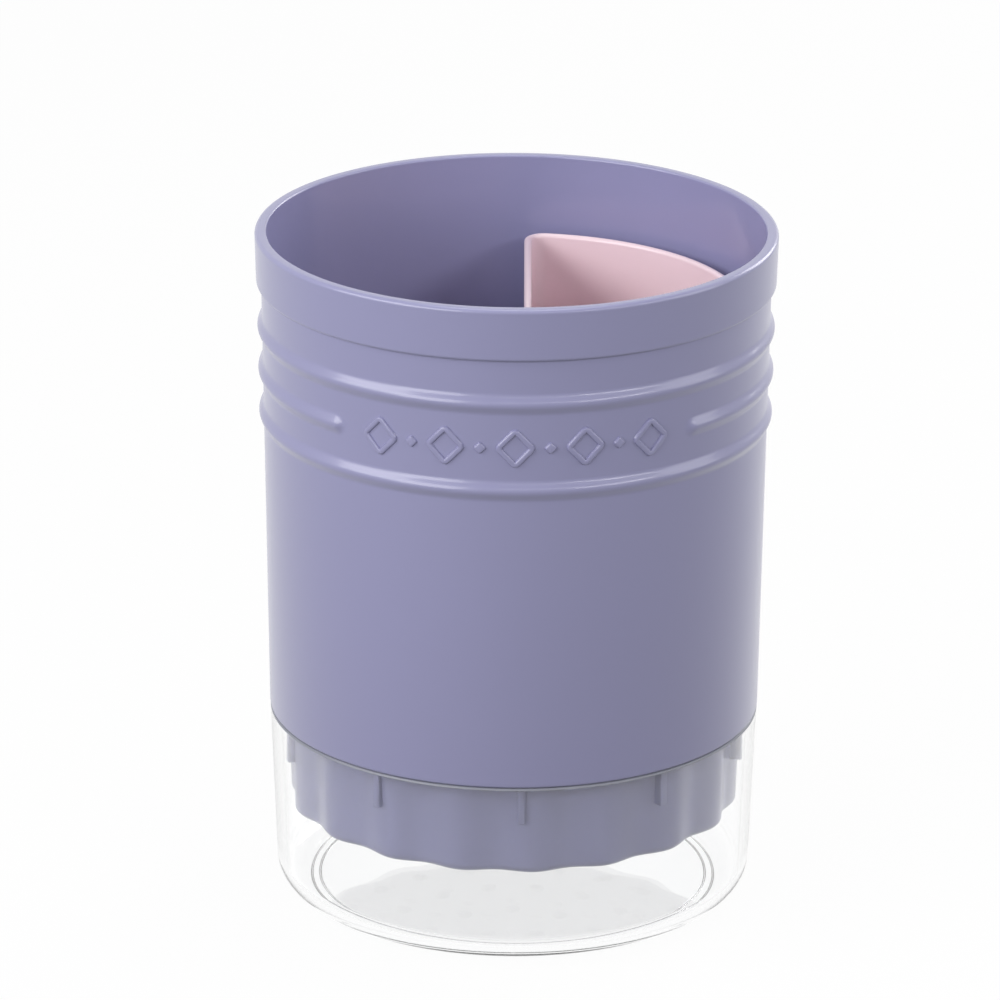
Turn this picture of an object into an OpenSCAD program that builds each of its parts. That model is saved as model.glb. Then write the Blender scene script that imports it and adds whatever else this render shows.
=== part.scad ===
// Round chopstick holder that drains. A tall open barrel stands with its fluted skirt in a clear drip cup,
// and a half-round divider cup stands inside the barrel.
// Millimetres, +Z up, origin on the table at the centre of the foot ring. The front is -Y.

/* [Barrel] */
// Outer diameter of the rim band
rim_d = 124; // [110:1:140]
// Wall thickness at the rim
rim_wall = 2.8; // [2.4:0.1:4]
// Height of the rim band
band_h = 12.6; // [8:0.1:15]
// How far the rim band stands out from the neck below it
band_step = 1.2; // [0.8:0.1:1.3]
// How much the rim band's radius shrinks towards its lower edge
band_taper = 0.3; // [0:0.1:0.6]
// Height from the shoulder to the rim
barrel_h = 119; // [100:1:150]
// How much the barrel's radius shrinks from the neck to the shoulder
barrel_taper = 1.6; // [0.5:0.1:2.5]
// Wall thickness just above the shoulder
barrel_wall = 2.2; // [1.6:0.1:3]
// Thickness of the inner ledge over the shoulder
ledge_t = 2.2; // [1.6:0.1:3]

/* [Rings round the barrel] */
// Height from the rim down to the middle of the first ring
ring_drop = 23.4; // [20:0.1:28]
// Distance from ring to ring
ring_pitch = 10.6; // [8:0.1:14]
// Height of each ring along the barrel
ring_w = 5.5; // [3:0.1:7]
// How far each ring stands out
ring_rise = 1.1; // [0.5:0.1:1.6]
// Angle at the front that the middle ring leaves open, in degrees
ring_gap = 87; // [60:1:140]

/* [Lozenge row] */
// Width of each open lozenge
lozenge_w = 10; // [6:0.1:11]
// Height of each open lozenge
lozenge_h = 10.6; // [6:0.1:11.5]
// Width of the raised line that draws a lozenge
lozenge_line = 1.4; // [0.8:0.1:2]
// Width and height of each small solid lozenge
bead_w = 3.2; // [2:0.1:4]
// Distance from one open lozenge to the next, along the barrel
lozenge_pitch = 16.4; // [15:0.1:17]
// How far the row stands out
lozenge_rise = 0.6; // [0.3:0.1:1]

/* [Skirt] */
// Depth of the skirt below the shoulder
skirt_h = 23.4; // [15:0.1:35]
// Gap from the cup's rim to the skirt's mean surface
skirt_gap = 2.4; // [2:0.1:5]
// Wall thickness of the skirt
skirt_wall = 1.8; // [1.2:0.1:3]
// Thickness of the drain floor
floor_t = 2; // [1.5:0.1:4]
// Number of flutes round the skirt
flute_count = 19; // [10:1:36]
// Depth of the flutes, from crest to valley
flute_depth = 1.6; // [0.5:0.1:2]

/* [Centring ribs] */
// Angle from each rib to the next in the front group and in the back group, in degrees
rib_spread = 37; // [25:1:42]
// Length of each rib below the shoulder
rib_h = 10; // [4:0.1:14]
// Thickness of each rib
rib_t = 1.9; // [0.8:0.1:3]
// Clearance from the ribs to the cup's inner wall
rib_clear = 0.3; // [0.2:0.05:0.6]

/* [Drain holes] */
// Diameter of each drain hole
drain_d = 3.5; // [2:0.1:3.9]
// Distance from one circle of holes to the next
drain_pitch = 11.5; // [8:0.1:20]
// Least width of solid floor from a hole to the wall
drain_margin = 2; // [1:0.1:6]

/* [Drip cup] */
// Height of the cup
cup_h = 46.5; // [40:0.5:70]
// How far the cup's rim stands inside the shoulder's edge
cup_inset = 0.1; // [0:0.1:1]
// How much the cup's radius shrinks towards its base
cup_taper = 1.4; // [0:0.1:2]
// Wall thickness of the cup
cup_wall = 2.4; // [1.5:0.1:4]
// Thickness of the cup's floor
cup_floor = 2.4; // [1.5:0.1:5]
// Outer radius of the cup's lower corner
cup_corner = 7; // [5:0.1:8]
// Width of the flat base from the lower corner to the foot ring
foot_inset = 1.4; // [0.5:0.1:12]
// Width of the foot ring
foot_w = 2; // [1:0.1:5]
// Height of the foot ring
foot_h = 0.8; // [0.4:0.1:2]

/* [Divider cup] */
// Height from the rim down to the top of the divider cup
divider_drop = 18.1; // [5:0.1:60]
// Gap from the top of the divider's round wall to the barrel's inner wall
divider_gap = 4.1; // [2:0.1:8]
// Clearance from the divider's round wall to the skirt's inner wall at the ledge
divider_clear = 0.5; // [0.3:0.1:1]
// Distance from the barrel's axis to the divider's flat wall, at its top
divider_offset = 1.8; // [0:0.1:10]
// How much the flat wall leans inwards from its top to its base
divider_lean = 1.8; // [0:0.1:4]
// Wall thickness of the divider cup
divider_wall = 1.8; // [1.2:0.1:2.4]
// Thickness of the divider cup's floor
divider_floor = 1.8; // [1.2:0.1:4]
// Outer radius of the divider's upright corners
divider_corner = 5; // [4:0.1:9]

/* [Hidden] */
$fn = 180;

// Edge radii
rim_outer_round = 1;
rim_inner_round = 0.5;
edge_round = 0.5;
ledge_round = 1.5;
shoulder_round = 0.8;
skirt_round = 1.2;
cup_rim_round = 0.4;
foot_round = 0.3;
divider_base_round = 2.4;
divider_inner_round = 2;

// Directions seen from above, in degrees. The fluting and the ribs are turned a little from the front.
front = -90;
flute_turn = 5.5;
rib_turn = 2;

// Counts that are part of the design, and steps on curved stretches
ring_count = 3;
middle_ring = 1;
lozenge_count = 5;
arc_steps = 5;
ring_steps = 12;
flute_steps = 10;
round_wall_steps = 36;

// How deep a raised shape is rooted in the wall under it, and how far a cut runs past the faces it opens
root = 0.8;
over = 1;

// How far the middle ring's edges dip under the wall, and how much lower than the ring its round ends are
ring_dip = 0.15;
end_step = 0.05;

// Levels
rim_z = cup_h + barrel_h;
band_z = rim_z - band_h;
ledge_z = cup_h + ledge_t;
skirt_z = cup_h - skirt_h;
floor_z = skirt_z + floor_t;
divider_z = rim_z - divider_drop;

// Radii of the barrel
rim_r = rim_d / 2;
band_low_r = rim_r - band_taper;
neck_r = band_low_r - band_step;
shoulder_r = neck_r - barrel_taper;
mouth_r = rim_r - rim_wall;
ledge_r = shoulder_r - barrel_wall;

// Radii of the drip cup
cup_top_r = shoulder_r - cup_inset;
cup_low_r = cup_top_r - cup_taper;
cup_mouth_r = cup_top_r - cup_wall;
cup_well_r = cup_low_r - cup_wall;
cup_floor_z = foot_h + cup_floor;
cup_well_corner = cup_corner - cup_wall;
foot_r = cup_low_r - cup_corner - foot_inset;

// Mean radii of the fluted skirt and of the well inside it
skirt_r = cup_mouth_r - skirt_gap;
well_r = skirt_r - skirt_wall;
well_clear_r = well_r - flute_depth / 2;

// Barrel's outer radius and inner radius at a height, and the cup's inner radius
function barrel_r(z) = shoulder_r + barrel_taper * (z - cup_h) / (band_z - cup_h);
function bore_r(z) = ledge_r + (mouth_r - ledge_r) * (z - ledge_z) / (rim_z - ledge_z);
function cup_in_r(z) = cup_well_r + (cup_mouth_r - cup_well_r) * z / cup_h;

// The ribs' reach, which clears the cup's wall down to their lower ends
rib_r = cup_in_r(cup_h - rib_h) - rib_clear;

// Height of the middle of a ring, and its rise at a distance from there. Its edges may dip under the wall.
function ring_z(i) = rim_z - ring_drop - i * ring_pitch;
function ring_bump(d, dip = 0) = (ring_rise + dip) / 2 * (1 + cos(360 * d / ring_w)) - dip;

// Points of a round edge about a centre, from one angle to another
function round_edge(centre, r, from, to) =
    [for (i = [0 : arc_steps]) let (a = from + (to - from) * i / arc_steps) centre + r * [cos(a), sin(a)]];

// Points up the outside of one ring
function ring_points(i, dip = 0) =
    [for (k = [0 : ring_steps])
        let (d = ring_w * (k / ring_steps - 0.5), z = ring_z(i) + d)
        [barrel_r(z) + ring_bump(d, dip), z]];

// Section of the barrel with its rim band, its full rings and its ledge
barrel_section = concat(
    [[well_clear_r, cup_h]],
    round_edge([shoulder_r - shoulder_round, cup_h + shoulder_round], shoulder_round, -90, 0),
    [for (i = [ring_count - 1 : -1 : 0]) if (i != middle_ring) each ring_points(i)],
    round_edge([neck_r + edge_round, band_z - edge_round], edge_round, 180, 90),
    round_edge([band_low_r - edge_round, band_z + edge_round], edge_round, -90, 0),
    round_edge([rim_r - rim_outer_round, rim_z - rim_outer_round], rim_outer_round, 0, 90),
    round_edge([mouth_r + rim_inner_round, rim_z - rim_inner_round], rim_inner_round, 90, 180),
    round_edge([ledge_r - ledge_round, ledge_z + ledge_round], ledge_round, 0, -90),
    [[well_clear_r, ledge_z]]);

// Section of the drip cup with its foot ring
cup_section = concat(
    [[0, foot_h], [foot_r - foot_w, foot_h]],
    round_edge([foot_r - foot_w + foot_round, foot_round], foot_round, 180, 270),
    round_edge([foot_r - foot_round, foot_round], foot_round, -90, 0),
    [[foot_r, foot_h]],
    round_edge([cup_low_r - cup_corner, foot_h + cup_corner], cup_corner, -90, 0),
    round_edge([cup_top_r - cup_rim_round, cup_h - cup_rim_round], cup_rim_round, 0, 90),
    round_edge([cup_mouth_r + cup_rim_round, cup_h - cup_rim_round], cup_rim_round, 90, 180),
    round_edge([cup_well_r - cup_well_corner, cup_floor_z + cup_well_corner], cup_well_corner, 0, -90),
    [[0, cup_floor_z]]);

// Section of the skirt's outline with its rounded lower edge
skirt_crest_r = skirt_r + flute_depth / 2;
skirt_section = concat(
    [[0, skirt_z]],
    round_edge([skirt_crest_r - skirt_round, skirt_z + skirt_round], skirt_round, -90, 0),
    [[skirt_crest_r, ledge_z], [0, ledge_z]]);

// Outline of a fluted wall of mean radius r
function fluted(r) =
    [for (i = [0 : flute_steps * flute_count - 1])
        let (a = 360 * i / (flute_steps * flute_count))
        (r + flute_depth / 2 * cos(flute_count * (a - front - flute_turn))) * [cos(a), sin(a)]];

// Middles of the drain holes, in circles round the axis
drain_circles = floor((well_clear_r - drain_margin - drain_d / 2) / drain_pitch);
drain_spots = concat([[0, 0]],
    [for (c = [1 : drain_circles], k = [0 : 6 * c - 1])
        let (a = front + 30 + 60 * k / c) c * drain_pitch * [cos(a), sin(a)]]);

// Size of the divider's outside at a height: the radius of its round wall and the place of its flat wall
divider_ledge_r = well_clear_r - divider_clear;
divider_top_r = bore_r(divider_z) - divider_gap;
function divider_r(z) =
    divider_ledge_r + (divider_top_r - divider_ledge_r) * (z - ledge_z) / (divider_z - ledge_z);
function divider_x(z) = divider_offset + divider_lean * (divider_z - z) / (divider_z - floor_z);

// Skin of the divider as pairs of a height and a distance in from its outside:
// round the base edge, over the rim and down to the inner floor
divider_rim_round = divider_wall / 2;
divider_inner_z = floor_z + divider_floor;
divider_skin = concat(
    [for (i = [0 : arc_steps]) let (a = 90 * i / arc_steps)
        [floor_z + divider_base_round * (1 - cos(a)), divider_base_round * (1 - sin(a))]],
    [for (i = [0 : 2 * arc_steps]) let (a = 90 * i / arc_steps)
        [divider_z - divider_rim_round * (1 - sin(a)), divider_rim_round * (1 - cos(a))]],
    [for (i = [0 : arc_steps]) let (a = 90 * i / arc_steps)
        [divider_inner_z + divider_inner_round * (1 - sin(a)),
         divider_wall + divider_inner_round * (1 - cos(a))]]);

// One level of that skin: a half-round outline with round corners, of which each stays at its own centre line
function divider_ring(z, inset) =
    let (r = divider_r(z), x = divider_x(z), c = divider_corner,
         centre_x = x + c, centre_y = sqrt(pow(r - c, 2) - pow(centre_x, 2)),
         turn = atan2(centre_y, centre_x), ci = c - inset)
    concat(
        [for (i = [0 : round_wall_steps])
            let (a = turn * (2 * i / round_wall_steps - 1))
            [(r - inset) * cos(a), (r - inset) * sin(a), z]],
        [for (i = [1 : arc_steps])
            let (a = turn + (180 - turn) * i / arc_steps)
            [centre_x + ci * cos(a), centre_y + ci * sin(a), z]],
        [for (i = [0 : arc_steps - 1])
            let (a = 180 + (180 - turn) * i / arc_steps)
            [centre_x + ci * cos(a), -centre_y + ci * sin(a), z]]);

// Drain holes that lie well inside the divider's floor
divider_keep = drain_margin + drain_d / 2 + divider_wall;
divider_spots = [for (p = drain_spots)
    if (norm(p) < divider_r(floor_z) - divider_keep && p[0] > divider_x(floor_z) + divider_keep) p];

module drill(spots, z, thickness) {
    for (p = spots)
        translate([p[0], p[1], z - over])
            cylinder(d = drain_d, h = thickness + 2 * over);
}

// The ring that stops short of the lozenges on both sides of the front, with round ends
module middle_ring_arc() {
    z = ring_z(middle_ring);
    r = barrel_r(z);
    section = concat(
        [[r - root, z - ring_w / 2]],
        ring_points(middle_ring, ring_dip),
        [[r - root, z + ring_w / 2]]);
    end_cap = concat(
        [[0, -root], [ring_w / 2, -root]],
        [for (k = [0 : ring_steps / 2])
            let (d = ring_w * (0.5 - k / ring_steps))
            [d, ring_bump(d, ring_dip) - end_step]]);
    rotate([0, 0, front + ring_gap / 2])
        rotate_extrude(angle = 360 - ring_gap) polygon(section);
    for (side = [-1, 1])
        rotate([0, 0, front + side * ring_gap / 2])
            translate([r, 0, z])
                rotate([0, 90, 0])
                    rotate_extrude() polygon(end_cap);
}

module lozenge(w, h) {
    polygon([[w / 2, 0], [0, h / 2], [-w / 2, 0], [0, -h / 2]]);
}

module open_lozenge() {
    // A line of even width takes this much off each half-diagonal
    slant = norm([lozenge_w, lozenge_h]);
    cut_w = 2 * lozenge_line * slant / lozenge_h;
    cut_h = 2 * lozenge_line * slant / lozenge_w;
    difference() {
        lozenge(lozenge_w, lozenge_h);
        lozenge(lozenge_w - cut_w, lozenge_h - cut_h);
    }
}

// Raised lozenges at the front, in the gap of the middle ring
module lozenge_row() {
    z = ring_z(middle_ring);
    r = barrel_r(z);
    low = z - ring_w;
    high = z + ring_w;
    step = lozenge_pitch / r * 180 / PI;
    intersection() {
        rotate_extrude()
            polygon([
                [barrel_r(low) - root, low],
                [barrel_r(low) + lozenge_rise, low],
                [barrel_r(high) + lozenge_rise, high],
                [barrel_r(high) - root, high]]);
        for (i = [0 : 2 * lozenge_count - 2])
            rotate([0, 0, front + step / 2 * (i - lozenge_count + 1)])
                translate([r / 2, 0, z])
                    rotate([90, 0, 90])
                        linear_extrude(r)
                            if (i % 2 == 0) open_lozenge();
                            else lozenge(bead_w, bead_w);
    }
}

module skirt() {
    intersection() {
        translate([0, 0, skirt_z])
            linear_extrude(ledge_z - skirt_z) polygon(fluted(skirt_r));
        rotate_extrude() polygon(skirt_section);
    }
}

// Five ribs round the front half and five round the back, which keep the skirt in the middle of the cup
module centring_ribs() {
    for (half = [0, 180], step = [-2:2])
        rotate([0, 0, front + rib_turn + half + step * rib_spread])
            translate([well_r, -rib_t / 2, cup_h - rib_h])
                cube([rib_r - well_r, rib_t, rib_h + ledge_t / 2]);
}

module holder_barrel() {
    color([0.62, 0.61, 0.76])
    difference() {
        union() {
            rotate_extrude() polygon(barrel_section);
            middle_ring_arc();
            lozenge_row();
            skirt();
            centring_ribs();
        }
        translate([0, 0, floor_z])
            linear_extrude(ledge_z + over - floor_z) polygon(fluted(well_r));
        drill(drain_spots, skirt_z, floor_t);
    }
}

module drip_cup() {
    color([0.9, 0.93, 0.95, 0.35])
    rotate_extrude() polygon(cup_section);
}

module divider_cup() {
    rings = [for (level = divider_skin) divider_ring(level[0], level[1])];
    n = len(rings[0]);
    last = len(rings) - 1;
    sides = [for (k = [0 : last - 1], i = [0 : n - 1], half = [0, 1])
        let (a = k * n + i, b = k * n + (i + 1) % n)
        half == 0 ? [a, a + n, b] : [b, a + n, b + n]];
    ends = [[for (i = [0 : n - 1]) i], [for (i = [n - 1 : -1 : 0]) last * n + i]];
    color([0.84, 0.66, 0.7])
    difference() {
        polyhedron([for (ring = rings) each ring], concat(sides, ends));
        drill(divider_spots, floor_z, divider_floor);
    }
}

drip_cup();
holder_barrel();
divider_cup();
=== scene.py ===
import math

import bmesh
import bpy
from mathutils import Matrix, Vector


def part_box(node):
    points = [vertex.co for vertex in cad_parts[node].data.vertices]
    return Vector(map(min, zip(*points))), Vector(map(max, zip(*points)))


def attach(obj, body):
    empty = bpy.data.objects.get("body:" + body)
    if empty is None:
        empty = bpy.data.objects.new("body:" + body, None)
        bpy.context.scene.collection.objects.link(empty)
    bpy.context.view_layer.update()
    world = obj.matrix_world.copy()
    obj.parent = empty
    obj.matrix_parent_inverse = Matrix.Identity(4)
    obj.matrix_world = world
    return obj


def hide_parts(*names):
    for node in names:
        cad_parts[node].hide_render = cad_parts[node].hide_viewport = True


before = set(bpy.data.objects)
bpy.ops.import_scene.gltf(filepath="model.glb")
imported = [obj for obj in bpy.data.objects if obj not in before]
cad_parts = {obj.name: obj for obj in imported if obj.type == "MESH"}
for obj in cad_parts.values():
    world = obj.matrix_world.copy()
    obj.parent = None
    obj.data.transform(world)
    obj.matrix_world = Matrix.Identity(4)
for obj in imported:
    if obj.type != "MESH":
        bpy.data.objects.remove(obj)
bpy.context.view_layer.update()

# Round draining chopstick holder: a clear drip cup, a lavender barrel whose fluted skirt hangs in that cup,
# and a pink half-round divider cup inside the barrel. The front is -Y.
# Named sizes are in millimetres and named angles in degrees, unless a comment or a name says otherwise.
# The meshes are made in millimetres and go into the scene in metres.
MM = 0.001

# Levels and radii that the frame gives
cup_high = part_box("drip_cup")[1]
barrel_low, barrel_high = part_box("holder_barrel")
divider_low, divider_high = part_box("divider_cup")
RIM_R = barrel_high.x / MM
RIM_Z = barrel_high.z / MM
SKIRT_Z = barrel_low.z / MM
SHOULDER_Z = cup_high.z / MM
CUP_TOP_R = cup_high.x / MM
DIVIDER_TOP_Z = divider_high.z / MM
DIVIDER_BASE_Z = divider_low.z / MM
DIVIDER_TOP_R = divider_high.x / MM
DIVIDER_FLAT_X = divider_low.x / MM

# Barrel
RIM_WALL = 2.8
BAND_H = 12.6
BAND_TAPER = 0.3
BAND_STEP = 1.2
BARREL_TAPER = 1.6
BARREL_WALL = 2.2
LEDGE_T = 2.2
BAND_Z = RIM_Z - BAND_H
LEDGE_Z = SHOULDER_Z + LEDGE_T
FLOOR_Z = DIVIDER_BASE_Z
BAND_LOW_R = RIM_R - BAND_TAPER
NECK_R = BAND_LOW_R - BAND_STEP
SHOULDER_R = NECK_R - BARREL_TAPER
MOUTH_R = RIM_R - RIM_WALL
LEDGE_R = SHOULDER_R - BARREL_WALL

# Edge radii of the barrel, from the rim down. The fillet is in the corners under the band and the shoulder.
RIM_ROUND = 1.0
MOUTH_ROUND = 0.5
BAND_ROUND = 0.8
FILLET = 0.4
SHOULDER_ROUND = 0.8
SKIRT_ROUND = 2.0
LEDGE_ROUND = 1.5
WELL_EDGE_ROUND = 0.6
WELL_ROUND = 1.2

# Rings round the barrel, from the top one down
RING_DROPS = (23.4, 34.0, 44.6)
MIDDLE_RING = 1
RING_W = 5.5
RING_RISE = 1.1
RING_GAP = 87.0
RING_STEPS = 16
RING_ZS = [RIM_Z - drop for drop in RING_DROPS]

# Lozenge row in the middle ring's gap
LOZENGE_COUNT = 5
LOZENGE_PITCH = 16.4
LOZENGE_W = 10.0
LOZENGE_H = 10.6
LOZENGE_LINE = 1.4
LOZENGE_RISE = 0.6
LOZENGE_CORNER = 0.75
BEAD_W = 3.2
BEAD_CORNER = 0.5
LEAST_CORNER = 0.08
CORNER_POINTS = 5

# Section across the raised line of a lozenge, in shares of its half width and of its rise
LINE_SECTION = [
    (-1.25, -0.3), (-1.0, 0.1), (-0.9, 0.55), (-0.68, 0.88), (-0.36, 1.0),
    (0.36, 1.0), (0.68, 0.88), (0.9, 0.55), (1.0, 0.1), (1.25, -0.3)]

# Drip cup, whose rim is a hair below the shoulder that rests on it
CUP_REST_GAP = 0.06
CUP_TAPER = 1.4
CUP_WALL = 2.4
CUP_FLOOR = 2.4
CUP_CORNER = 7.0
CUP_EDGE = 0.55
CUP_RIM_Z = SHOULDER_Z - CUP_REST_GAP
CUP_LOW_R = CUP_TOP_R - CUP_TAPER
CUP_MOUTH_R = CUP_TOP_R - CUP_WALL
CUP_WELL_R = CUP_LOW_R - CUP_WALL

# Foot ring under the drip cup
FOOT_R = 49.0
FOOT_W = 2.0
FOOT_H = 0.8

# Fluted skirt and the well inside it
FLUTES = 19
FLUTE_TURN = 5.5
FLUTE_DEPTH = 1.6
SKIRT_TOP_R = 54.0
SKIRT_LOW_R = 53.4
SKIRT_WALL = 1.8
WELL_TOP_R = SKIRT_TOP_R - SKIRT_WALL
WELL_LOW_R = SKIRT_LOW_R - SKIRT_WALL

# Upright ribs on the skirt, which keep it in the middle of the cup
RIB_TURN = 2.0
RIB_SPREAD = 37.0
RIB_T = 1.9
RIB_H = 10.0
RIB_R = 55.7
RIB_ROOT = 1.2
RIB_ROUND = 0.35

# Drain holes
DRAIN_D = 3.5
DRAIN_PITCH = 11.5
DRAIN_CIRCLES = 4
DRAIN_MARGIN = 2.0
DRAIN_CHAMFER = 0.25
DRAIN_STEPS = 24

# Divider cup
DIVIDER_LEDGE_R = 50.9
DIVIDER_LEAN = 1.8
DIVIDER_WALL = 1.8
DIVIDER_FLOOR = 1.8
DIVIDER_CORNER = 5.0
DIVIDER_BASE_ROUND = 2.4
DIVIDER_INNER_ROUND = 2.0

# Distance from a round edge to the row that keeps the shading of the wall beside it flat
EDGE_ROW = 0.08

# Points closer than this are one point, and an angle over this is a sharp edge
MERGE = 0.0001
SHARP_ANGLE = 40

# Steps round a full turn, and the direction of the front in radians
BARREL_STEPS = 32 * FLUTES
CUP_STEPS = 360
FRONT = math.radians(-90)

# Moulded plastics: colours as display values from 0 to 255, and how far the colour and the roughness drift
LAVENDER = (156, 155, 195)
PINK = (255, 229, 236)
DRIFT_SHADE = 0.97
GLOSS_SWING = 0.04

# Clear plastic: its colour, the share of the lamps' light that passes each surface, and the rim's two greys
CLEAR_BODY = (0.996, 0.998, 1.0)
CLEAR_PASS = (0.36, 0.385, 0.405)
# The rim's two greys are a painted glint: opaque colour in place of the light that the clear wall carries up
RIM_GLINT_DARK = (0.28, 0.29, 0.35)
RIM_GLINT_LIGHT = (0.36, 0.37, 0.43)

# Floor: the grey that lights the object, then the seen white as a part that takes shadow and a glow
FLOOR_BOUNCE = 0.2
FLOOR_SHADE = 0.035
FLOOR_GLOW = 0.965
FLOOR_HALF_M = 3.0

# Dim light that the world sends to the object, and the point in metres that the lamps face
AMBIENT = 0.08
AMBIENT_COLOUR = (0.95, 0.97, 1.0)
LAMP_TARGET = (0.0, 0.0, 0.09)

# Camera: distance from the rim's middle in rim radii, angle above it, and how it is aimed
CAMERA_REACH = 26.681
CAMERA_CLIMB = 17.595
CAMERA_TILT = 19.820
CAMERA_SWING = 0.1304
CAMERA_ROLL = 0.3294
CAMERA_LENS = 251.73
SENSOR_W = 36.0


def arc(centre_r, centre_z, radius, start, end, steps, flute_share=0.0):
    """Rows along a round edge of the section, from one angle to another."""
    rows = []
    for i in range(steps + 1):
        a = math.radians(start + (end - start) * i / steps)
        rows.append((centre_r + radius * math.cos(a), centre_z + radius * math.sin(a), flute_share))
    return rows


def line(r0, z0, r1, z1, steps, flute_share=0.0):
    """Rows strictly between two points of the section.

    One lies close to each end, to keep the wall's shading flat.
    """
    close = EDGE_ROW / math.hypot(r1 - r0, z1 - z0)
    shares = [close] + [i / steps for i in range(1, steps)] + [1 - close]
    return [(r0 + (r1 - r0) * s, z0 + (z1 - z0) * s, flute_share) for s in shares]


def barrel_r(z):
    """Outer radius of the plain barrel at a height."""
    return SHOULDER_R + (NECK_R - SHOULDER_R) * (z - SHOULDER_Z) / (BAND_Z - SHOULDER_Z)


def ring_bump(d):
    """Rise of a ring at a distance from its middle."""
    if d >= RING_W / 2:
        return 0.0
    return RING_RISE / 2 * (1 + math.cos(2 * math.pi * d / RING_W))


def ring_rise(z, turn):
    """How far the rings lift the barrel's surface at a height and an angle in radians from the front."""
    rise = 0.0
    for i, ring_z in enumerate(RING_ZS):
        up = z - ring_z
        if abs(up) >= RING_W / 2:
            continue
        past_end = 0.0
        if i == MIDDLE_RING:
            past_end = max(0.0, (math.radians(RING_GAP / 2) - abs(turn)) * barrel_r(z))
        rise = max(rise, ring_bump(math.hypot(up, past_end)))
    return rise


def flute(turn):
    """Swing of the fluted wall at an angle in radians from the front."""
    return FLUTE_DEPTH / 2 * math.cos(FLUTES * (turn - math.radians(FLUTE_TURN)))


def skirt_rows():
    """Section of the skirt's outside, from the underside of its floor to the shoulder."""
    rows = arc(SKIRT_LOW_R - SKIRT_ROUND, SKIRT_Z + SKIRT_ROUND, SKIRT_ROUND, -90, 0, 8, 1.0)
    rows += line(SKIRT_LOW_R, SKIRT_Z + SKIRT_ROUND, SKIRT_TOP_R, SHOULDER_Z - FILLET, 2, 1.0)
    rows += arc(SKIRT_TOP_R + FILLET, SHOULDER_Z - FILLET, FILLET, 180, 90, 4, 1.0)
    return rows


def wall_rows():
    """Section of the barrel's outside, from the shoulder up over the rings to the neck."""
    rows = arc(SHOULDER_R - SHOULDER_ROUND, SHOULDER_Z + SHOULDER_ROUND, SHOULDER_ROUND, -90, 0, 9)
    z = SHOULDER_Z + SHOULDER_ROUND
    for ring_z in reversed(RING_ZS):
        low = ring_z - RING_W / 2
        rows += line(barrel_r(z), z, barrel_r(low), low, 1)
        levels = [low + RING_W * i / RING_STEPS for i in range(RING_STEPS + 1)]
        rows += [(barrel_r(level), level, 0.0) for level in levels]
        z = levels[-1]
    rows += line(barrel_r(z), z, NECK_R, BAND_Z - FILLET, 1)
    rows += arc(NECK_R + FILLET, BAND_Z - FILLET, FILLET, 180, 90, 4)
    return rows


def rim_rows():
    """Section of the rim band, from its lower edge over the rim."""
    rows = arc(BAND_LOW_R - BAND_ROUND, BAND_Z + BAND_ROUND, BAND_ROUND, -90, 0, 7)
    rows += line(BAND_LOW_R, BAND_Z + BAND_ROUND, RIM_R, RIM_Z - RIM_ROUND, 1)
    rows += arc(RIM_R - RIM_ROUND, RIM_Z - RIM_ROUND, RIM_ROUND, 0, 90, 7)
    rows += arc(MOUTH_R + MOUTH_ROUND, RIM_Z - MOUTH_ROUND, MOUTH_ROUND, 90, 180, 5)
    return rows


def inside_rows():
    """Section of the barrel's inside, from the rim over the ledge down to the floor."""
    rows = line(MOUTH_R, RIM_Z - MOUTH_ROUND, LEDGE_R, LEDGE_Z + LEDGE_ROUND, 3)
    rows += arc(LEDGE_R - LEDGE_ROUND, LEDGE_Z + LEDGE_ROUND, LEDGE_ROUND, 0, -90, 6)
    rows += arc(WELL_TOP_R + WELL_EDGE_ROUND, LEDGE_Z - WELL_EDGE_ROUND, WELL_EDGE_ROUND, 90, 180, 5, 1.0)
    rows += line(WELL_TOP_R, LEDGE_Z - WELL_EDGE_ROUND, WELL_LOW_R, FLOOR_Z + WELL_ROUND, 2, 1.0)
    rows += arc(WELL_LOW_R - WELL_ROUND, FLOOR_Z + WELL_ROUND, WELL_ROUND, 0, -90, 6, 1.0)
    return rows


def foot_rows():
    """Section of the foot ring, from the middle of the cup's underside outwards."""
    inner_r = FOOT_R - FOOT_W
    foot_round = FOOT_H / 2
    rows = [(inner_r - 2 * foot_round, FOOT_H, 0.0)]
    rows += arc(inner_r - foot_round, FOOT_H - foot_round, foot_round, 90, 0, 5)
    rows += arc(inner_r + foot_round, foot_round, foot_round, 180, 270, 5)
    rows += arc(FOOT_R - foot_round, foot_round, foot_round, -90, 0, 5)
    rows += arc(FOOT_R + foot_round, FOOT_H - foot_round, foot_round, 180, 90, 5)
    return rows


def cup_rows():
    """Section of the drip cup, from the middle of its underside up the outside and down the inside."""
    floor_z = FOOT_H + CUP_FLOOR
    well_corner = CUP_CORNER - CUP_WALL
    rim_low_z = CUP_RIM_Z - CUP_EDGE
    rows = foot_rows()
    rows += arc(CUP_LOW_R - CUP_CORNER, FOOT_H + CUP_CORNER, CUP_CORNER, -90, 0, 16)
    rows += line(CUP_LOW_R, FOOT_H + CUP_CORNER, CUP_TOP_R, rim_low_z, 10)
    rows += arc(CUP_TOP_R - CUP_EDGE, rim_low_z, CUP_EDGE, 0, 90, 6)
    rows += arc(CUP_MOUTH_R + CUP_EDGE, rim_low_z, CUP_EDGE, 90, 180, 6)
    rows += line(CUP_MOUTH_R, rim_low_z, CUP_WELL_R, floor_z + well_corner, 10)
    rows += arc(CUP_WELL_R - well_corner, floor_z + well_corner, well_corner, 0, -90, 14)
    return rows


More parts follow.
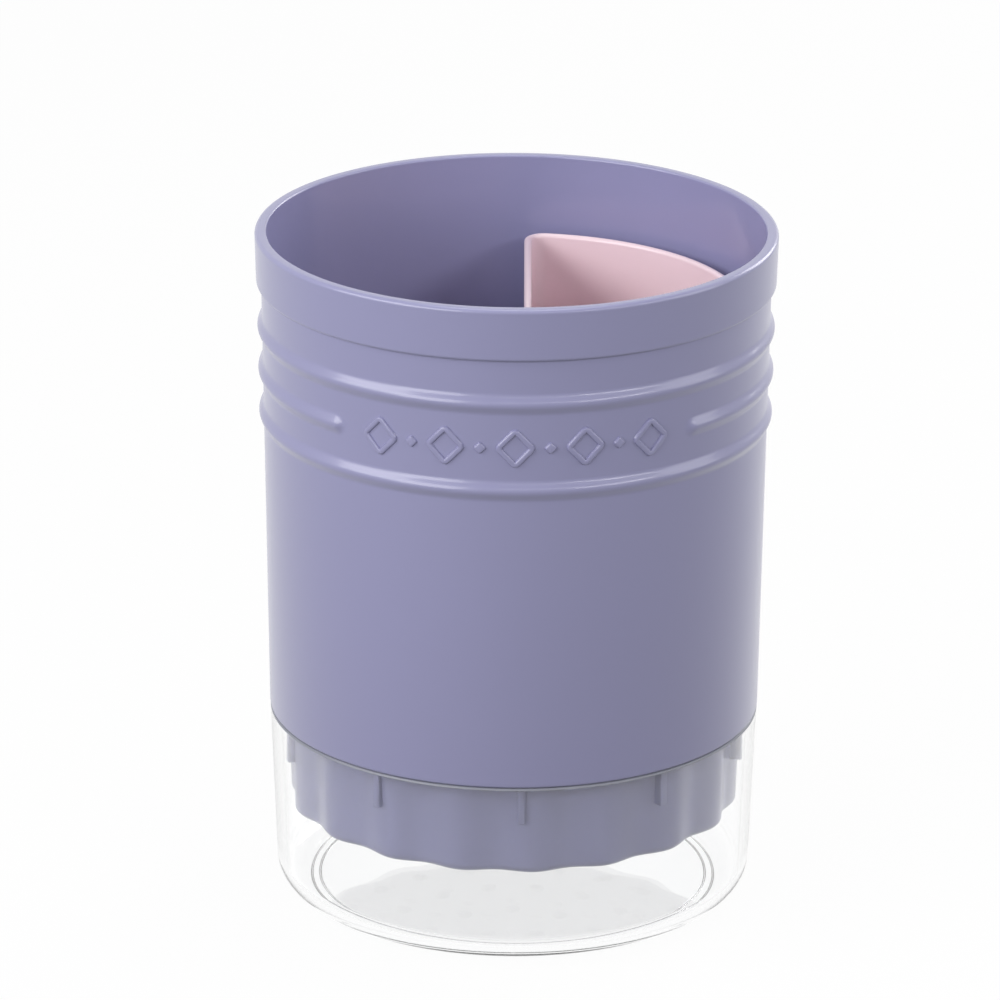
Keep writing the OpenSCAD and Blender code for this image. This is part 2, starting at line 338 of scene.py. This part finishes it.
def new_object(name, bm):
    """A smooth-shaded object from a bmesh in millimetres, with its sharp edges kept."""
    bmesh.ops.remove_doubles(bm, verts=bm.verts, dist=MERGE)
    bmesh.ops.recalc_face_normals(bm, faces=bm.faces)
    bmesh.ops.scale(bm, vec=(MM, MM, MM), verts=bm.verts)
    mesh = bpy.data.meshes.new(name)
    bm.to_mesh(mesh)
    bm.free()
    mesh.polygons.foreach_set("use_smooth", [True] * len(mesh.polygons))
    mesh.set_sharp_from_angle(angle=math.radians(SHARP_ANGLE))
    obj = bpy.data.objects.new(name, mesh)
    bpy.context.scene.collection.objects.link(obj)
    return obj


def skin(bm, rings):
    """Quads between closed rings of points, all with the same number of points."""
    made = [[bm.verts.new(p) for p in ring] for ring in rings]
    for low, high in zip(made, made[1:]):
        count = len(low)
        for i in range(count):
            j = (i + 1) % count
            bm.faces.new((low[i], low[j], high[j], high[i]))
    return made


def circle_points(x, y, radius, z):
    turns = [2 * math.pi * i / DRAIN_STEPS for i in range(DRAIN_STEPS)]
    return [(x + radius * math.cos(t), y + radius * math.sin(t), z) for t in turns]


def loop_edges(bm, verts):
    """The edges round a closed ring of vertices, made where they are missing."""
    edges = []
    for a, b in zip(verts, verts[1:] + verts[:1]):
        edges.append(bm.edges.get((a, b)) or bm.edges.new((a, b)))
    return edges


def drilled_floor(bm, under, upper, low_z, high_z, spots):
    """Closes a skin's first and last rings with flat floors that round holes pass through."""
    r = DRAIN_D / 2
    low_edges = loop_edges(bm, under)
    high_edges = loop_edges(bm, upper)
    for x, y in spots:
        hole = skin(bm, [
            circle_points(x, y, r + DRAIN_CHAMFER, low_z),
            circle_points(x, y, r, low_z + DRAIN_CHAMFER),
            circle_points(x, y, r, high_z - DRAIN_CHAMFER),
            circle_points(x, y, r + DRAIN_CHAMFER, high_z)])
        low_edges += loop_edges(bm, hole[0])
        high_edges += loop_edges(bm, hole[-1])
    bmesh.ops.triangle_fill(bm, use_beauty=True, edges=low_edges, normal=(0, 0, -1))
    bmesh.ops.triangle_fill(bm, use_beauty=True, edges=high_edges, normal=(0, 0, 1))


def drain_spots():
    """Middles of the drain holes, in circles round the axis."""
    spots = [(0.0, 0.0)]
    for c in range(1, DRAIN_CIRCLES + 1):
        for k in range(6 * c):
            a = FRONT + math.radians(30 + 60 * k / c)
            spots.append((c * DRAIN_PITCH * math.cos(a), c * DRAIN_PITCH * math.sin(a)))
    return spots


def on_barrel(along, up, rise):
    """A point over the barrel's front: a length along it, a height over the middle ring and a rise."""
    middle_z = RING_ZS[MIDDLE_RING]
    z = middle_z + up
    a = FRONT + along / barrel_r(middle_z)
    r = barrel_r(z) + rise
    return (r * math.cos(a), r * math.sin(a), z)


def lozenge_outline(half_w, half_h, corner):
    """A lozenge with round corners, as points (along, up)."""
    side = math.hypot(half_w, half_h)
    lean = math.degrees(math.atan2(half_w, half_h))
    centre_x = half_w - corner * side / half_h
    centre_y = half_h - corner * side / half_w
    centres = ((centre_x, 0.0), (0.0, centre_y), (-centre_x, 0.0), (0.0, -centre_y))
    points = []
    for k, (x, y) in enumerate(centres):
        reach = 90 - lean if k % 2 == 0 else lean
        for i in range(CORNER_POINTS):
            a = math.radians(90 * k - reach + 2 * reach * i / (CORNER_POINTS - 1))
            points.append((x + corner * math.cos(a), y + corner * math.sin(a)))
    return points


def lozenge_ring(along, half_w, half_h, corner, across, up):
    """A lozenge's outline, moved outwards and lifted by shares of the raised line, laid on the barrel."""
    grow = across * LOZENGE_LINE / 2
    side = math.hypot(half_w, half_h)
    wide = half_w + grow * side / half_h
    tall = half_h + grow * side / half_w
    outline = lozenge_outline(wide, tall, max(corner + grow, LEAST_CORNER))
    return [on_barrel(along + x, y, up * LOZENGE_RISE) for x, y in outline]


def add_open_lozenge(bm, along):
    """A lozenge drawn by a raised line, whose section closes on itself inside the wall."""
    side = math.hypot(LOZENGE_W, LOZENGE_H)
    half_w = (LOZENGE_W - LOZENGE_LINE * side / LOZENGE_H) / 2
    half_h = (LOZENGE_H - LOZENGE_LINE * side / LOZENGE_W) / 2
    section = LINE_SECTION + LINE_SECTION[:1]
    skin(bm, [lozenge_ring(along, half_w, half_h, LOZENGE_CORNER, across, up) for across, up in section])


def add_bead(bm, along):
    """A small solid lozenge, whose edge is the outer half of the raised line's section."""
    half = BEAD_W / 2
    section = LINE_SECTION[:len(LINE_SECTION) // 2 - 1:-1]
    made = skin(bm, [lozenge_ring(along, half, half, BEAD_CORNER, across - 1, up) for across, up in section])
    bm.faces.new(made[-1])
    bm.faces.new(made[0])


def add_lozenges(bm):
    """A row of open lozenges with a bead between each two."""
    for i in range(2 * LOZENGE_COUNT - 1):
        along = LOZENGE_PITCH / 2 * (i - LOZENGE_COUNT + 1)
        if i % 2 == 0:
            add_open_lozenge(bm, along)
        else:
            add_bead(bm, along)


def add_ribs(bm):
    """Short upright ribs on the skirt: five round the front half and five round the back."""
    inner = SKIRT_TOP_R - RIB_ROOT
    middle = Vector(((RIB_R + inner) / 2, 0, SHOULDER_Z - RIB_H / 2))
    places = [half + step * RIB_SPREAD for half in (0, 180) for step in range(-2, 3)]
    for place in places:
        part = bmesh.new()
        bmesh.ops.create_cube(part, size=1.0)
        bmesh.ops.scale(part, vec=(RIB_R - inner, RIB_T, RIB_H), verts=part.verts)
        bmesh.ops.bevel(part, geom=part.edges[:], offset=RIB_ROUND, segments=3, affect="EDGES", profile=0.5)
        bmesh.ops.translate(part, vec=middle, verts=part.verts)
        turn = Matrix.Rotation(FRONT + math.radians(RIB_TURN + place), 3, "Z")
        bmesh.ops.rotate(part, cent=(0, 0, 0), matrix=turn, verts=part.verts)
        whole = bpy.data.meshes.new("rib")
        part.to_mesh(whole)
        part.free()
        bm.from_mesh(whole)
        bpy.data.meshes.remove(whole)


def build_barrel():
    bm = bmesh.new()
    turns = [2 * math.pi * i / BARREL_STEPS - math.pi for i in range(BARREL_STEPS)]
    rings = []
    for r, z, flute_share in skirt_rows() + wall_rows() + rim_rows() + inside_rows():
        ring = []
        outside = SHOULDER_Z < z < BAND_Z and r > LEDGE_R
        for turn in turns:
            reach = r + (ring_rise(z, turn) if outside else 0.0) + flute_share * flute(turn)
            ring.append((reach * math.cos(FRONT + turn), reach * math.sin(FRONT + turn), z))
        rings.append(ring)
    made = skin(bm, rings)
    drilled_floor(bm, made[0], made[-1], SKIRT_Z, FLOOR_Z, drain_spots())
    add_ribs(bm)
    add_lozenges(bm)
    return new_object("barrel_shell", bm)


def build_cup():
    """The drip cup. The faces of its rim take the second material, the rim's painted glint."""
    bm = bmesh.new()
    turns = [2 * math.pi * i / CUP_STEPS for i in range(CUP_STEPS)]
    made = skin(bm, [[(r * math.cos(t), r * math.sin(t), z) for t in turns] for r, z, _ in cup_rows()])
    bm.faces.new(list(reversed(made[0])))
    bm.faces.new(made[-1])
    rim_low_z = CUP_RIM_Z - CUP_EDGE - EDGE_ROW / 2
    for face in bm.faces:
        if min(v.co.z for v in face.verts) > rim_low_z:
            face.material_index = 1
    return new_object("clear_cup", bm)


def divider_ring(z, inset):
    """One level of the divider cup: a half-round outline with round corners, moved in by inset."""
    ledge_share = (z - LEDGE_Z) / (DIVIDER_TOP_Z - LEDGE_Z)
    r = DIVIDER_LEDGE_R + (DIVIDER_TOP_R - DIVIDER_LEDGE_R) * ledge_share
    x = DIVIDER_FLAT_X + DIVIDER_LEAN * (DIVIDER_TOP_Z - z) / (DIVIDER_TOP_Z - DIVIDER_BASE_Z)
    corner_x = x + DIVIDER_CORNER
    corner_y = math.sqrt((r - DIVIDER_CORNER) ** 2 - corner_x ** 2)
    turn = math.atan2(corner_y, corner_x)
    corner = DIVIDER_CORNER - inset
    wall_steps, corner_steps, flat_steps = 96, 12, 12
    points = []
    for i in range(wall_steps + 1):
        a = turn * (2 * i / wall_steps - 1)
        points.append(((r - inset) * math.cos(a), (r - inset) * math.sin(a), z))
    for i in range(1, corner_steps + 1):
        a = turn + (math.pi - turn) * i / corner_steps
        points.append((corner_x + corner * math.cos(a), corner_y + corner * math.sin(a), z))
    for i in range(1, flat_steps):
        points.append((x + inset, corner_y * (1 - 2 * i / flat_steps), z))
    for i in range(corner_steps):
        a = math.pi + (math.pi - turn) * i / corner_steps
        points.append((corner_x + corner * math.cos(a), -corner_y + corner * math.sin(a), z))
    return points


def divider_levels():
    """Heights and insets of the divider's skin: up the outside, over the rim and down the inside."""
    rim_round = DIVIDER_WALL / 2
    base_z = DIVIDER_BASE_Z + DIVIDER_BASE_ROUND
    rim_z = DIVIDER_TOP_Z - rim_round
    inner_z = DIVIDER_BASE_Z + DIVIDER_FLOOR + DIVIDER_INNER_ROUND
    inner_inset = DIVIDER_WALL + DIVIDER_INNER_ROUND
    levels = [(z, DIVIDER_BASE_ROUND - r) for r, z, _ in arc(0, base_z, DIVIDER_BASE_ROUND, -90, 0, 8)]
    levels += [(z, 0.0) for _, z, _ in line(0, base_z, 0, rim_z, 8)]
    levels += [(z, rim_round - r) for r, z, _ in arc(0, rim_z, rim_round, 0, 180, 12)]
    levels += [(z, DIVIDER_WALL) for _, z, _ in line(0, rim_z, 0, inner_z, 8)]
    levels += [(z, inner_inset - r) for r, z, _ in arc(0, inner_z, DIVIDER_INNER_ROUND, 0, -90, 8)]
    return levels


def divider_spots(under):
    """The drain holes that lie well inside the divider's floor."""
    keep = DRAIN_MARGIN + DRAIN_D / 2 + DIVIDER_WALL
    base_r = max(Vector(v.co[:2]).length for v in under) + DIVIDER_BASE_ROUND
    flat_x = DIVIDER_FLAT_X + DIVIDER_LEAN
    return [s for s in drain_spots() if math.hypot(*s) < base_r - keep and s[0] > flat_x + keep]


def build_divider():
    bm = bmesh.new()
    made = skin(bm, [divider_ring(z, inset) for z, inset in divider_levels()])
    inner_z = DIVIDER_BASE_Z + DIVIDER_FLOOR
    drilled_floor(bm, made[0], made[-1], DIVIDER_BASE_Z, inner_z, divider_spots(made[0]))
    return new_object("divider_shell", bm)


def node(tree, kind, **values):
    """A new shader node with its sockets set by name."""
    made = tree.nodes.new(kind)
    for name, value in values.items():
        made.inputs[name.replace("_", " ")].default_value = value
    return made


def noise(tree, place, scale, detail, roughness):
    """The height of a noise that stays with the object."""
    made = node(tree, "ShaderNodeTexNoise", Scale=scale, Detail=detail, Roughness=roughness)
    tree.links.new(place.outputs["Object"], made.inputs["Vector"])
    return made.outputs["Fac"]


def mixed_colour(tree, factor, dark, light):
    """A colour between two, by a factor socket."""
    mix = tree.nodes.new("ShaderNodeMix")
    mix.data_type = "RGBA"
    mix.inputs["A"].default_value = (*dark, 1.0)
    mix.inputs["B"].default_value = (*light, 1.0)
    tree.links.new(factor, mix.inputs["Factor"])
    return mix.outputs["Result"]


def mapped(tree, value, low, high):
    """A value from 0 to 1 spread between two others."""
    made = node(tree, "ShaderNodeMapRange", To_Min=low, To_Max=high)
    tree.links.new(value, made.inputs["Value"])
    return made.outputs["Result"]


def mixed_shaders(tree, factor, first, second):
    """The first shader where the factor socket is 0, and the second where it is 1."""
    mix = tree.nodes.new("ShaderNodeMixShader")
    tree.links.new(factor, mix.inputs[0])
    tree.links.new(first.outputs[0], mix.inputs[1])
    tree.links.new(second.outputs[0], mix.inputs[2])
    return mix.outputs[0]


def linear(r, g, b):
    """Linear colour from 0 to 255 display values."""
    def channel(v):
        v = v / 255
        return v / 12.92 if v <= 0.04045 else ((v + 0.055) / 1.055) ** 2.4
    return (channel(r), channel(g), channel(b))


def new_material(name):
    """A material, its node tree, its shader and the object's own coordinates."""
    material = bpy.data.materials.new(name)
    material.use_nodes = True
    tree = material.node_tree
    return material, tree, tree.nodes["Principled BSDF"], tree.nodes.new("ShaderNodeTexCoord")


def moulded_plastic(name, colour, roughness):
    """Satin moulded plastic: faint drifts of colour and gloss, and a fine eroded grain."""
    material, tree, shader, place = new_material(name)
    shader.inputs["IOR"].default_value = 1.5
    shader.inputs["Coat Weight"].default_value = 0.5
    shader.inputs["Coat Roughness"].default_value = 0.13
    drift = noise(tree, place, 22.0, 3.0, 0.5)
    grain = noise(tree, place, 2600.0, 2.0, 0.6)
    waves = noise(tree, place, 45.0, 1.0, 0.4)
    shade = tuple(c * DRIFT_SHADE for c in colour)
    tree.links.new(mixed_colour(tree, drift, shade, colour), shader.inputs["Base Color"])
    gloss = mapped(tree, drift, roughness - GLOSS_SWING, roughness + GLOSS_SWING)
    tree.links.new(gloss, shader.inputs["Roughness"])
    broad = node(tree, "ShaderNodeBump", Strength=0.15, Distance=0.0003)
    fine = node(tree, "ShaderNodeBump", Strength=0.12, Distance=0.00006)
    tree.links.new(waves, broad.inputs["Height"])
    tree.links.new(grain, fine.inputs["Height"])
    tree.links.new(broad.outputs["Normal"], fine.inputs["Normal"])
    tree.links.new(fine.outputs["Normal"], shader.inputs["Normal"])
    return material


def clear_plastic(name):
    """Polished clear plastic, faintly wavy as a moulding is, that lets part of the lamps' light through."""
    material, tree, shader, place = new_material(name)
    shader.inputs["Base Color"].default_value = (*CLEAR_BODY, 1.0)
    shader.inputs["Transmission Weight"].default_value = 1.0
    shader.inputs["IOR"].default_value = 1.49
    shader.inputs["Roughness"].default_value = 0.0
    bump = node(tree, "ShaderNodeBump", Strength=0.1, Distance=0.0002)
    tree.links.new(noise(tree, place, 30.0, 1.0, 0.4), bump.inputs["Height"])
    tree.links.new(bump.outputs["Normal"], shader.inputs["Normal"])
    open_way = node(tree, "ShaderNodeBsdfTransparent", Color=(*CLEAR_PASS, 1.0))
    to_lamp = tree.nodes.new("ShaderNodeLightPath").outputs["Is Shadow Ray"]
    surface = mixed_shaders(tree, to_lamp, shader, open_way)
    tree.links.new(surface, tree.nodes["Material Output"].inputs["Surface"])
    return material


def painted_rim_glint(name):
    """The clear cup's rim as an opaque grey: a painted glint that stands in for the light its clear wall
    carries up.
    """
    material, tree, shader, place = new_material(name)
    shader.inputs["IOR"].default_value = 1.49
    glint_drift = noise(tree, place, 160.0, 2.0, 0.5)
    tree.links.new(mixed_colour(tree, glint_drift, RIM_GLINT_DARK, RIM_GLINT_LIGHT), shader.inputs["Base Color"])
    tree.links.new(mapped(tree, glint_drift, 0.35, 0.5), shader.inputs["Roughness"])
    return material


def math_node(tree, operation, first, second):
    """The result of a math node on a socket and either a socket or a number."""
    made = tree.nodes.new("ShaderNodeMath")
    made.operation = operation
    tree.links.new(first, made.inputs[0])
    if isinstance(second, float):
        made.inputs[1].default_value = second
    else:
        tree.links.new(second, made.inputs[1])
    return made.outputs[0]


def seen_rays(tree):
    """A switch: 1 for what the camera sees and 0 for the light that reaches the object.

    A view in a reflection or through the clear cup counts as seen.
    """
    path = tree.nodes.new("ShaderNodeLightPath")
    seen = math_node(tree, "MAXIMUM", path.outputs["Is Camera Ray"], path.outputs["Is Glossy Ray"])
    seen = math_node(tree, "MAXIMUM", seen, path.outputs["Is Transmission Ray"])
    straight = math_node(tree, "LESS_THAN", path.outputs["Diffuse Depth"], 0.5)
    return math_node(tree, "MULTIPLY", seen, straight)


def grey(level):
    return (level, level, level, 1.0)


def floor_material():
    """Seen as near white with the object's faint shadow, and a dim grey for the light that it sends back."""
    material = bpy.data.materials.new("white_floor")
    material.use_nodes = True
    tree = material.node_tree
    tree.nodes.clear()
    out = tree.nodes.new("ShaderNodeOutputMaterial")
    bounce = node(tree, "ShaderNodeBsdfDiffuse", Color=grey(FLOOR_BOUNCE))
    shadowed = node(tree, "ShaderNodeBsdfDiffuse", Color=grey(FLOOR_SHADE))
    glow = node(tree, "ShaderNodeEmission", Color=grey(1.0), Strength=FLOOR_GLOW)
    both = tree.nodes.new("ShaderNodeAddShader")
    tree.links.new(shadowed.outputs[0], both.inputs[0])
    tree.links.new(glow.outputs[0], both.inputs[1])
    tree.links.new(mixed_shaders(tree, seen_rays(tree), bounce, both), out.inputs["Surface"])
    return material


def build_floor():
    half = FLOOR_HALF_M
    corners = [(-half, -half, 0), (half, -half, 0), (half, half, 0), (-half, half, 0)]
    mesh = bpy.data.meshes.new("floor")
    mesh.from_pydata(corners, [], [(0, 1, 2, 3)])
    mesh.materials.append(floor_material())
    floor = bpy.data.objects.new("floor", mesh)
    bpy.context.scene.collection.objects.link(floor)


def build_world():
    """A white studio where it is seen, and a low ambient light on the object."""
    world = bpy.data.worlds.new("studio")
    bpy.context.scene.world = world
    world.use_nodes = True
    tree = world.node_tree
    tree.nodes.clear()
    out = tree.nodes.new("ShaderNodeOutputWorld")
    ambient = node(tree, "ShaderNodeBackground", Color=(*AMBIENT_COLOUR, 1.0), Strength=AMBIENT)
    white = node(tree, "ShaderNodeBackground", Color=grey(1.0), Strength=1.0)
    tree.links.new(mixed_shaders(tree, seen_rays(tree), ambient, white), out.inputs["Surface"])


def area_lamp(name, place, size, watts):
    """A softbox aimed at the middle of the holder, with its place and size in metres."""
    lamp = bpy.data.lights.new(name, "AREA")
    lamp.shape = "RECTANGLE"
    lamp.size, lamp.size_y = size
    lamp.energy = watts
    obj = bpy.data.objects.new(name, lamp)
    bpy.context.scene.collection.objects.link(obj)
    obj.location = place
    obj.rotation_euler = (Vector(LAMP_TARGET) - Vector(place)).to_track_quat("-Z", "Y").to_euler()
    obj.visible_camera = False


def build_lamps():
    area_lamp("left_box", (-0.9, -0.35, 0.65), (0.6, 0.6), 4.9)
    area_lamp("front_left_box", (-0.7, -0.9, 0.5), (0.6, 0.6), 5.2)
    area_lamp("right_box", (0.95, -0.1, 0.5), (0.5, 0.7), 2.4)
    area_lamp("top_box", (0.0, 0.1, 1.2), (0.6, 0.6), 3.3)
    area_lamp("back_right_box", (0.8, 0.9, 0.6), (0.6, 0.6), 4.7)
    area_lamp("front_strip", (0.2, -1.15, 0.8), (0.8, 0.1), 0.9)
    area_lamp("right_strip", (0.85, -0.8, 0.68), (0.8, 0.1), 2.8)


def build_camera():
    """The photograph's view: a long lens, turned by a few tenths of a degree."""
    distance = CAMERA_REACH * RIM_R * MM
    climb = math.radians(CAMERA_CLIMB)
    tilt = math.radians(CAMERA_TILT)
    swing = math.radians(CAMERA_SWING)
    roll = math.radians(CAMERA_ROLL)
    camera = bpy.data.objects.new("camera", bpy.data.cameras.new("camera"))
    bpy.context.scene.collection.objects.link(camera)
    camera.data.sensor_width = SENSOR_W
    camera.data.lens = CAMERA_LENS
    camera.location = (0.0, -distance * math.cos(climb), RIM_Z * MM + distance * math.sin(climb))
    back = Vector((math.sin(swing) * math.cos(tilt), -math.cos(swing) * math.cos(tilt), math.sin(tilt)))
    right = Vector((0, 0, 1)).cross(back).normalized()
    up = back.cross(right)
    turned_right = right * math.cos(roll) + up * math.sin(roll)
    turned_up = up * math.cos(roll) - right * math.sin(roll)
    facing = Matrix((turned_right, turned_up, back)).transposed()
    camera.rotation_euler = facing.to_euler()
    bpy.context.scene.camera = camera


def add_piece(obj, materials, body, cad_node):
    for material in materials:
        obj.data.materials.append(material)
    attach(obj, body)
    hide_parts(cad_node)


build_camera()
lavender = moulded_plastic("lavender_plastic", linear(*LAVENDER), 0.33)
pink = moulded_plastic("pink_plastic", linear(*PINK), 0.34)
# The cup's rim gets an opaque grey, a painted glint of the light that its clear wall carries up
clear = [clear_plastic("clear_plastic"), painted_rim_glint("clear_rim_painted_glint")]
add_piece(build_cup(), clear, "cup", "drip_cup")
add_piece(build_barrel(), [lavender], "barrel", "holder_barrel")
add_piece(build_divider(), [pink], "divider", "divider_cup")
build_floor()
build_world()
build_lamps()

bpy.context.scene.view_settings.view_transform = "Standard"
